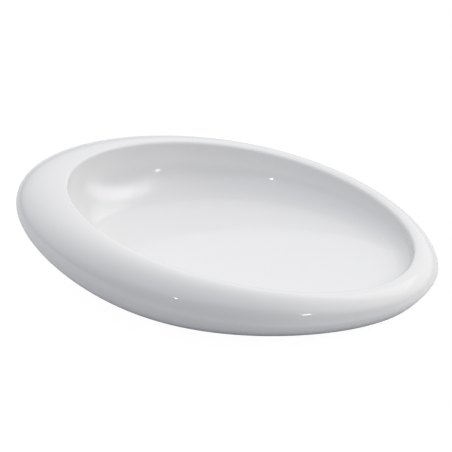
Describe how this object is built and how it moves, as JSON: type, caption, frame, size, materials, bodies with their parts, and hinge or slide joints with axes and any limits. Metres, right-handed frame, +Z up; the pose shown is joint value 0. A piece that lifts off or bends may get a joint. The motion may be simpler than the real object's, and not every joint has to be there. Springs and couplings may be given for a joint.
{
  "type": "soap dish",
  "caption": "Oval countertop soap dish with a thick rolled rim, high at one end and low at the other, and a flat-floored recess for a bar of soap.",
  "frame": {"origin": "on the standing surface, under the middle of the rim's widest line", "axes": "+X along the dish from its high end to its low end, +Y across it towards the back, +Z up"},
  "size_m": [0.1428, 0.1108, 0.0297],
  "materials": {
    "gloss_white": "high gloss, smooth, very slightly cool white",
    "cover_white": "fine satin texture as moulded",
    "seal_grey": "soft silicone, matt",
    "foot_rubber": "soft elastomer, matt, faint grip texture"
  },
  "bodies": {
    "root": {"dish_shell": "gloss_white", "base_cover": "cover_white", "seam_seal": "seal_grey", "foot_front_left": "foot_rubber", "foot_front_right": "foot_rubber", "foot_back_left": "foot_rubber", "foot_back_right": "foot_rubber"}
  },
  "joints": []
}
